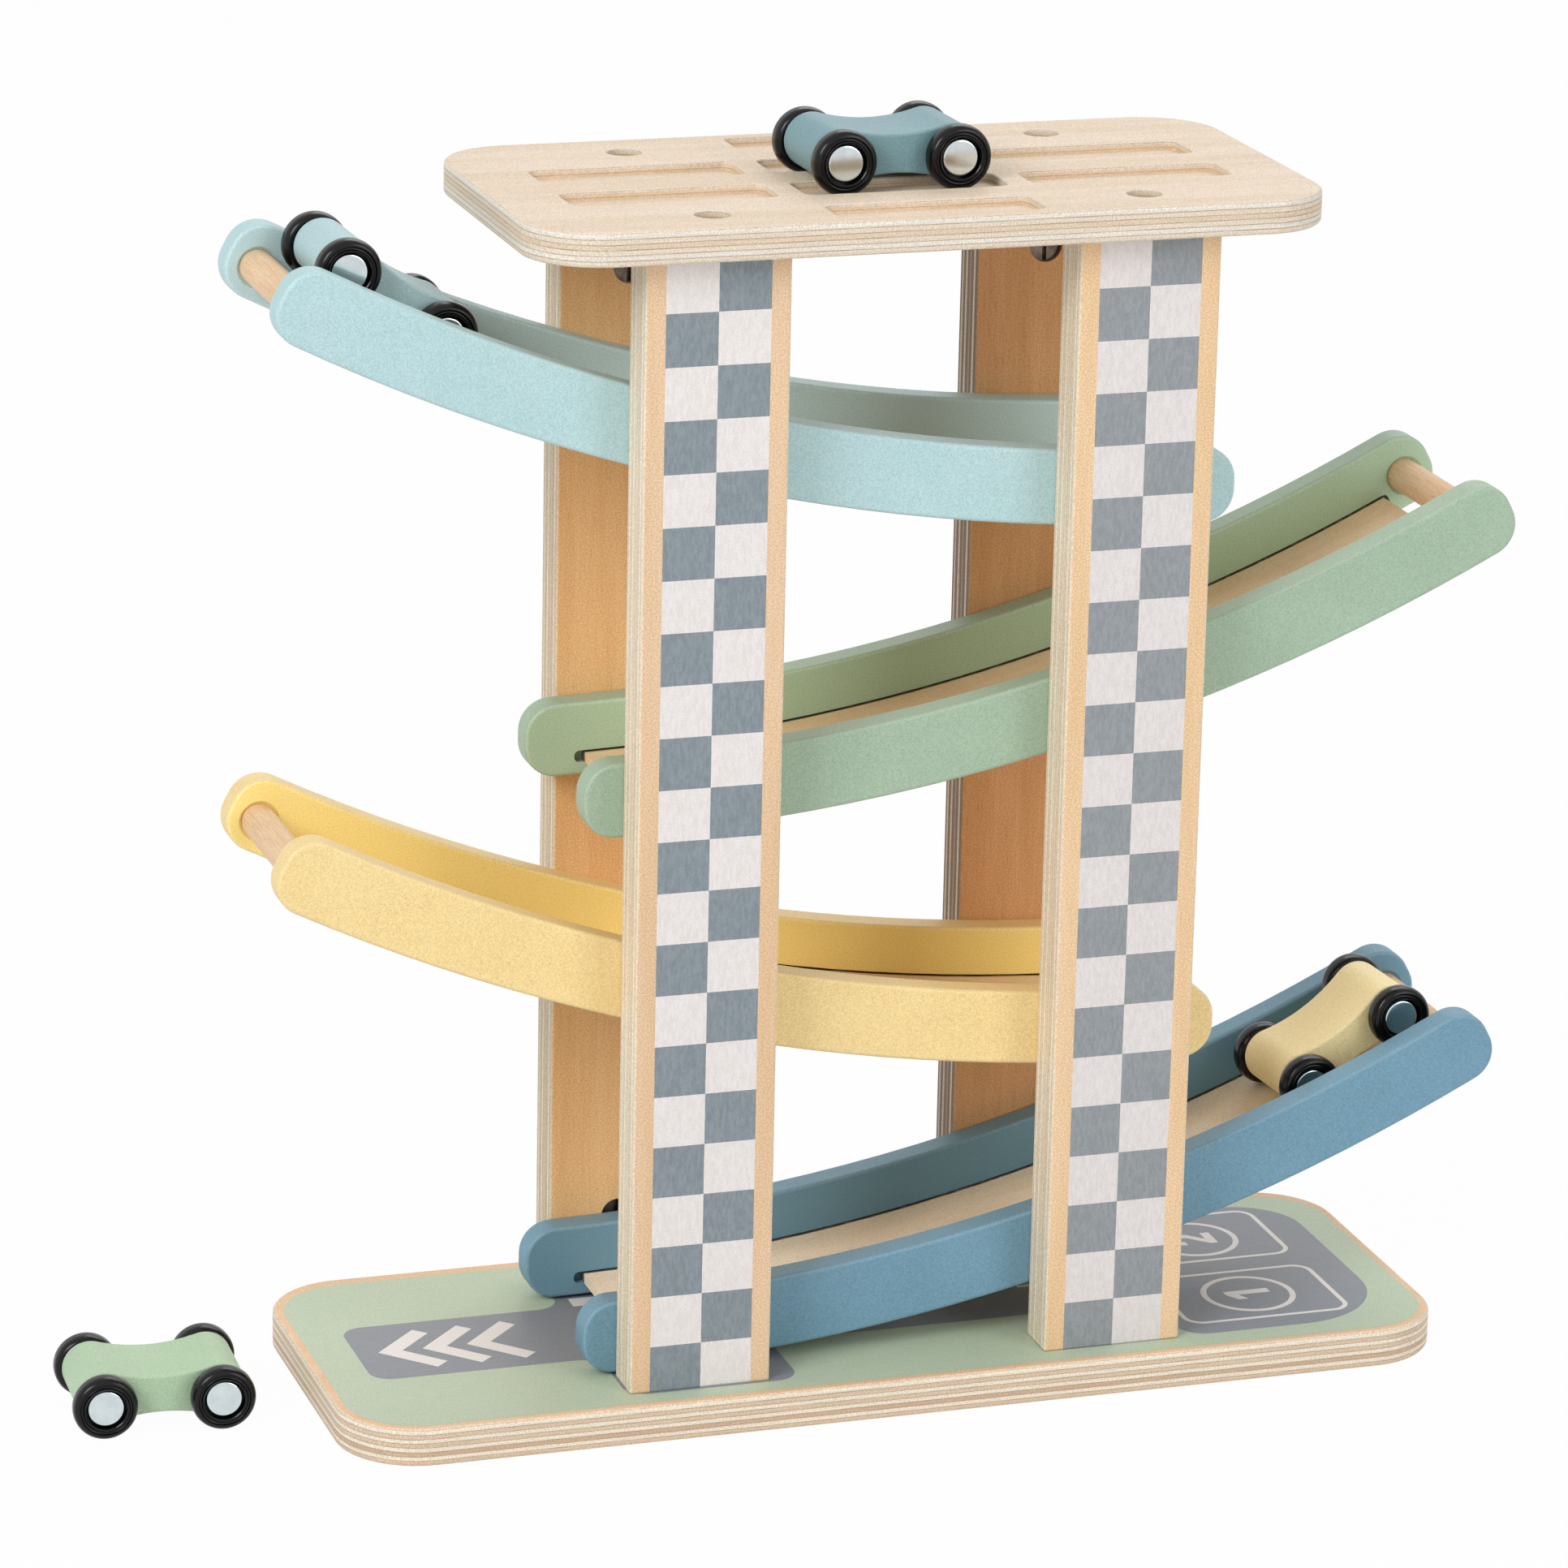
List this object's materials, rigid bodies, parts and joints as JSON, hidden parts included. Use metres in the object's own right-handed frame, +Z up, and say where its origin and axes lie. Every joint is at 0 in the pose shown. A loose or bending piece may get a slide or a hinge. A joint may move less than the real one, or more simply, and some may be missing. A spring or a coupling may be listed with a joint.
{
  "type": "toy race track",
  "caption": "Wooden toy race track: curved ramps zigzag down a tower of posts, with parking grooves on top and small wheeled cars.",
  "frame": {"origin": "middle of the base board's underside, on the surface that the track stands on", "axes": "+X along the boards towards the end with the zebra bar, +Y from the printed front to the back, +Z up"},
  "size_m": [0.427, 0.12, 0.3712],
  "materials": {
    "base_ply": "birch plywood, printed field with satin lacquer, bare plies at the edge",
    "top_ply": "bare birch plywood, satin, plies at the edge",
    "post_ply": "birch plywood with a printed check band on the front, satin",
    "ramp_aqua": "satin paint on wood",
    "ramp_sage": "satin paint on wood",
    "ramp_yellow": "satin paint on wood",
    "ramp_blue": "satin paint on wood",
    "floor_ply": "thin bent birch plywood, satin",
    "dowel_wood": "turned beech, satin",
    "zinc_steel": "zinc plated",
    "car_teal": "satin paint on wood",
    "car_aqua": "satin paint on wood",
    "car_yellow": "satin paint on wood",
    "car_green": "satin paint on wood",
    "wheel_black": "moulded, semi gloss",
    "cap_metal": "bright nickel plating"
  },
  "bodies": {
    "track": {"barrel_nuts": "zinc_steel", "base_board": "base_ply", "base_board_bolts": "zinc_steel", "post_back_left": "post_ply", "post_back_right": "post_ply", "post_front_left": "post_ply", "post_front_right": "post_ply", "rail_pegs": "dowel_wood", "ramp_1_floor": "floor_ply", "ramp_1_rail_back": "ramp_aqua", "ramp_1_rail_front": "ramp_aqua", "ramp_1_stop_bar": "dowel_wood", "ramp_2_floor": "floor_ply", "ramp_2_rail_back": "ramp_sage", "ramp_2_rail_front": "ramp_sage", "ramp_2_stop_bar": "dowel_wood", "ramp_3_floor": "floor_ply", "ramp_3_rail_back": "ramp_yellow", "ramp_3_rail_front": "ramp_yellow", "ramp_3_stop_bar": "dowel_wood", "ramp_4_floor": "floor_ply", "ramp_4_rail_back": "ramp_blue", "ramp_4_rail_front": "ramp_blue", "ramp_4_stop_bar": "dowel_wood", "top_board": "top_ply", "top_board_bolts": "zinc_steel"},
    "teal_car": {"teal_car_axle_caps": "cap_metal", "teal_car_axle_left": "cap_metal", "teal_car_axle_right": "cap_metal", "teal_car_body": "car_teal"},
    "teal_car_wheel_front_left": {"teal_car_wheel_front_left": "wheel_black"},
    "teal_car_wheel_back_left": {"teal_car_wheel_back_left": "wheel_black"},
    "teal_car_wheel_front_right": {"teal_car_wheel_front_right": "wheel_black"},
    "teal_car_wheel_back_right": {"teal_car_wheel_back_right": "wheel_black"},
    "aqua_car": {"aqua_car_axle_caps": "cap_metal", "aqua_car_axle_left": "cap_metal", "aqua_car_axle_right": "cap_metal", "aqua_car_body": "car_aqua"},
    "aqua_car_wheel_front_left": {"aqua_car_wheel_front_left": "wheel_black"},
    "aqua_car_wheel_back_left": {"aqua_car_wheel_back_left": "wheel_black"},
    "aqua_car_wheel_front_right": {"aqua_car_wheel_front_right": "wheel_black"},
    "aqua_car_wheel_back_right": {"aqua_car_wheel_back_right": "wheel_black"},
    "yellow_car": {"yellow_car_axle_caps": "cap_metal", "yellow_car_axle_left": "cap_metal", "yellow_car_axle_right": "cap_metal", "yellow_car_body": "car_yellow"},
    "yellow_car_wheel_front_left": {"yellow_car_wheel_front_left": "wheel_black"},
    "yellow_car_wheel_back_left": {"yellow_car_wheel_back_left": "wheel_black"},
    "yellow_car_wheel_front_right": {"yellow_car_wheel_front_right": "wheel_black"},
    "yellow_car_wheel_back_right": {"yellow_car_wheel_back_right": "wheel_black"},
    "green_car": {"green_car_axle_caps": "cap_metal", "green_car_axle_left": "cap_metal", "green_car_axle_right": "cap_metal", "green_car_body": "car_green"},
    "green_car_wheel_front_left": {"green_car_wheel_front_left": "wheel_black"},
    "green_car_wheel_back_left": {"green_car_wheel_back_left": "wheel_black"},
    "green_car_wheel_front_right": {"green_car_wheel_front_right": "wheel_black"},
    "green_car_wheel_back_right": {"green_car_wheel_back_right": "wheel_black"}
  },
  "joints": [
    {"name": "teal_car_lift", "type": "slide", "parent": "track", "child": "teal_car", "axis": [0, 0, 1], "range_m": [0, 0.06]},
    {"name": "teal_car_wheel_front_left_spin", "type": "hinge", "parent": "teal_car", "child": "teal_car_wheel_front_left", "pos_m": [-0.01706, -0.01689, 0.36175], "axis": [-0.0262, 0.9997, 0], "continuous": true},
    {"name": "teal_car_wheel_back_left_spin", "type": "hinge", "parent": "teal_car", "child": "teal_car_wheel_back_left", "pos_m": [-0.01792, 0.016, 0.36175], "axis": [-0.0262, 0.9997, 0], "continuous": true},
    {"name": "teal_car_wheel_front_right_spin", "type": "hinge", "parent": "teal_car", "child": "teal_car_wheel_front_right", "pos_m": [0.01712, -0.016, 0.36175], "axis": [-0.0262, 0.9997, 0], "continuous": true},
    {"name": "teal_car_wheel_back_right_spin", "type": "hinge", "parent": "teal_car", "child": "teal_car_wheel_back_right", "pos_m": [0.01626, 0.01689, 0.36175], "axis": [-0.0262, 0.9997, 0], "continuous": true},
    {"name": "aqua_car_lift", "type": "slide", "parent": "track", "child": "aqua_car", "axis": [0, 0, 1], "range_m": [0, 0.06]},
    {"name": "aqua_car_wheel_front_left_spin", "type": "hinge", "parent": "aqua_car", "child": "aqua_car_wheel_front_left", "pos_m": [-0.1587, -0.01311, 0.33693], "axis": [-0.037, 0.9992, 0.0155], "continuous": true},
    {"name": "aqua_car_wheel_back_left_spin", "type": "hinge", "parent": "aqua_car", "child": "aqua_car_wheel_back_left", "pos_m": [-0.15992, 0.01977, 0.33744], "axis": [-0.037, 0.9992, 0.0155], "continuous": true},
    {"name": "aqua_car_wheel_front_right_spin", "type": "hinge", "parent": "aqua_car", "child": "aqua_car_wheel_front_right", "pos_m": [-0.13065, -0.01177, 0.31741], "axis": [-0.037, 0.9992, 0.0155], "continuous": true},
    {"name": "aqua_car_wheel_back_right_spin", "type": "hinge", "parent": "aqua_car", "child": "aqua_car_wheel_back_right", "pos_m": [-0.13187, 0.02111, 0.31792], "axis": [-0.037, 0.9992, 0.0155], "continuous": true},
    {"name": "yellow_car_lift", "type": "slide", "parent": "track", "child": "yellow_car", "axis": [0, 0, 1], "range_m": [0, 0.06]},
    {"name": "yellow_car_wheel_front_left_spin", "type": "hinge", "parent": "yellow_car", "child": "yellow_car_wheel_front_left", "pos_m": [0.13587, -0.01828, 0.07492], "axis": [-0.0466, 0.9987, -0.0196], "continuous": true},
    {"name": "yellow_car_wheel_back_left_spin", "type": "hinge", "parent": "yellow_car", "child": "yellow_car_wheel_back_left", "pos_m": [0.13434, 0.01458, 0.07428], "axis": [-0.0466, 0.9987, -0.0196], "continuous": true},
    {"name": "yellow_car_wheel_front_right_spin", "type": "hinge", "parent": "yellow_car", "child": "yellow_car_wheel_front_right", "pos_m": [0.16437, -0.01658, 0.09375], "axis": [-0.0466, 0.9987, -0.0196], "continuous": true},
    {"name": "yellow_car_wheel_back_right_spin", "type": "hinge", "parent": "yellow_car", "child": "yellow_car_wheel_back_right", "pos_m": [0.16284, 0.01628, 0.09311], "axis": [-0.0466, 0.9987, -0.0196], "continuous": true},
    {"name": "green_car_lift", "type": "slide", "parent": "track", "child": "green_car", "axis": [0, 0, 1], "range_m": [0, 0.06]},
    {"name": "green_car_wheel_front_left_spin", "type": "hinge", "parent": "green_car", "child": "green_car_wheel_front_left", "pos_m": [-0.2301, -0.01469, 0.0094], "axis": [0.0436, 0.999, 0], "continuous": true},
    {"name": "green_car_wheel_back_left_spin", "type": "hinge", "parent": "green_car", "child": "green_car_wheel_back_left", "pos_m": [-0.22867, 0.01818, 0.0094], "axis": [0.0436, 0.999, 0], "continuous": true},
    {"name": "green_car_wheel_front_right_spin", "type": "hinge", "parent": "green_car", "child": "green_car_wheel_front_right", "pos_m": [-0.19593, -0.01618, 0.0094], "axis": [0.0436, 0.999, 0], "continuous": true},
    {"name": "green_car_wheel_back_right_spin", "type": "hinge", "parent": "green_car", "child": "green_car_wheel_back_right", "pos_m": [-0.1945, 0.01669, 0.0094], "axis": [0.0436, 0.999, 0], "continuous": true}
  ]
}
